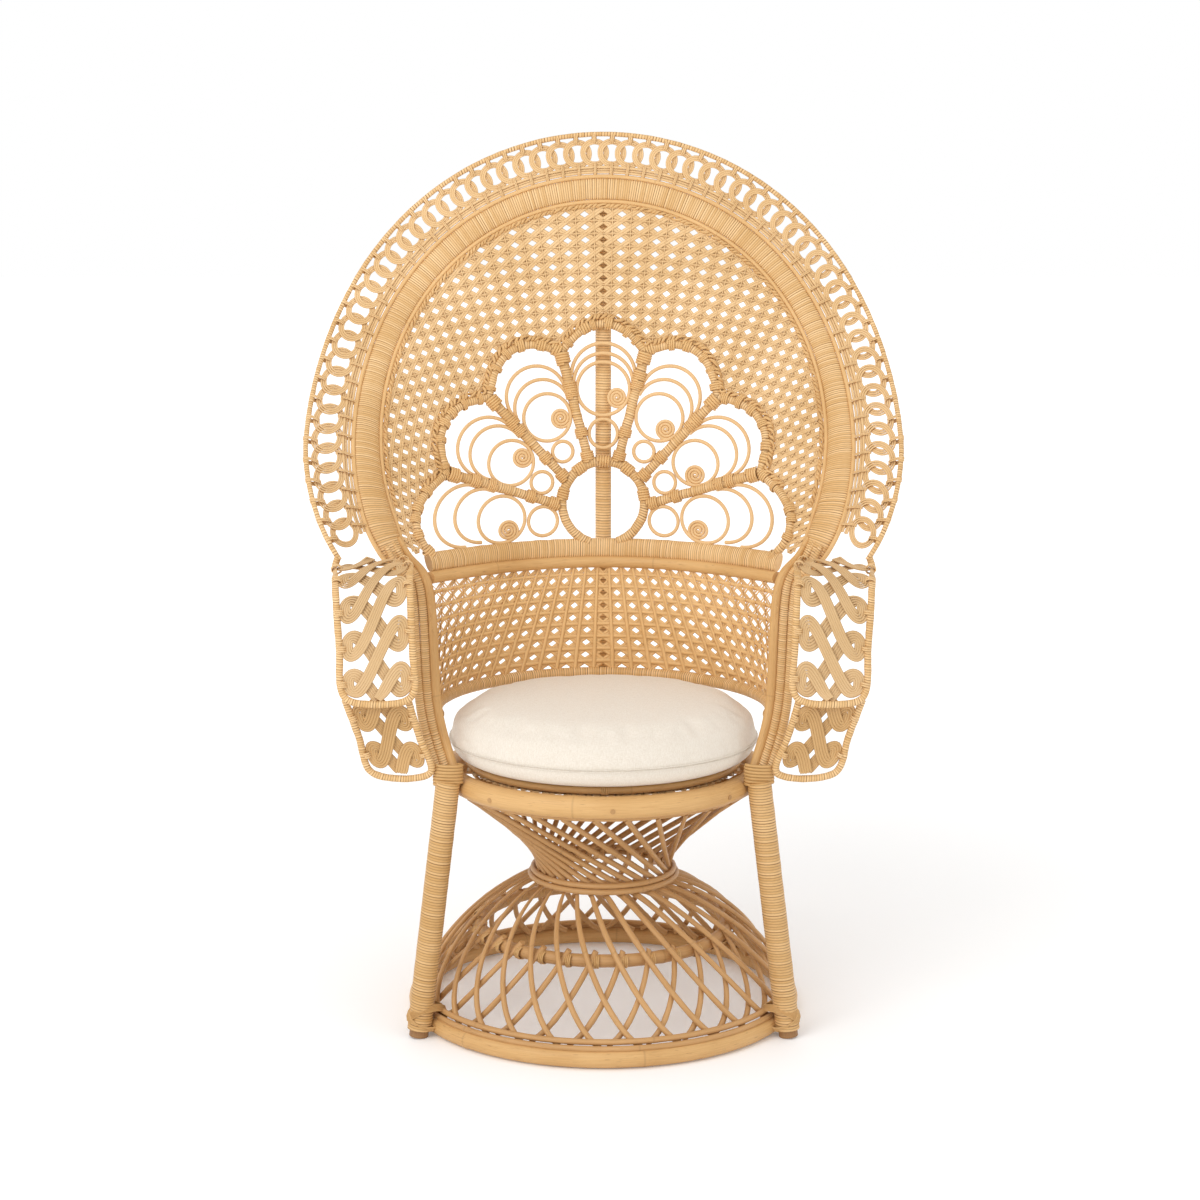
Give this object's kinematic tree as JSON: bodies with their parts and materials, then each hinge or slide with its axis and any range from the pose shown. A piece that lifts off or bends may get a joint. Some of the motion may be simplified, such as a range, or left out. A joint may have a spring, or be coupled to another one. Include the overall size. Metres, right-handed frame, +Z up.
{
  "type": "peacock chair",
  "caption": "Rattan peacock chair with a twisted hourglass base, caned surround, tall fan back with petal scrollwork, lace arms and a loose round cushion.",
  "frame": {"origin": "floor level under the middle of the chair's bounding box", "axes": "+Z up, the sitter faces -Y, +X to the viewer's right when looking at the front"},
  "size_m": [1.0318, 0.7468, 1.5081],
  "materials": {
    "bound_pole": "satin rattan pole bound in split cane",
    "base_cane": "satin round rattan core",
    "woven_cane": "matt woven cane",
    "linen": "off-white linen weave"
  },
  "bodies": {
    "chair": {"base_ring": "bound_pole", "seat_ring": "bound_pole", "leg_left": "bound_pole", "leg_right": "bound_pole", "surround_lower_rail": "bound_pole", "surround_upper_rail": "bound_pole", "back_post": "bound_pole", "fan_rim": "bound_pole", "band_edge_inner": "bound_pole", "band_edge_outer": "bound_pole", "fan_band": "bound_pole", "flower_base_band": "bound_pole", "flower_outline": "bound_pole", "flower_arch": "bound_pole", "arm_frame_left": "bound_pole", "arm_frame_right": "bound_pole", "arm_bracket_left": "bound_pole", "arm_bracket_right": "bound_pole", "post_pole_1_left": "bound_pole", "post_pole_1_right": "bound_pole", "post_pole_2_left": "bound_pole", "post_pole_2_right": "bound_pole", "post_pole_3_left": "bound_pole", "post_pole_3_right": "bound_pole", "base_trim_cane": "base_cane", "waist_cane_lower": "base_cane", "waist_cane_upper": "base_cane", "seat_bar_front": "base_cane", "seat_bar_middle": "base_cane", "seat_bar_rear": "base_cane", "deck_cane": "base_cane", "cone_canes_right": "base_cane", "cone_canes_left": "base_cane", "bell_canes_right": "base_cane", "bell_canes_left": "base_cane", "counter_canes_right": "base_cane", "counter_canes_left": "base_cane", "seat_deck": "woven_cane", "surround_web_left": "woven_cane", "surround_web_right": "woven_cane", "loop_chain": "woven_cane", "fan_web_left": "woven_cane", "fan_web_right": "woven_cane", "arm_lace_left": "woven_cane", "arm_lace_right": "woven_cane", "bracket_lace_left": "woven_cane", "bracket_lace_right": "woven_cane", "flower_rib_1": "woven_cane", "flower_rib_2": "woven_cane", "flower_rib_3": "woven_cane", "flower_rib_4": "woven_cane", "flower_rib_5": "woven_cane", "flower_rib_6": "woven_cane"},
    "cushion": {"seat_cushion": "linen"}
  },
  "joints": [
    {"name": "cushion_lift", "type": "slide", "parent": "chair", "child": "cushion", "axis": [0, 0, 1], "range_m": [0, 0.3]}
  ]
}
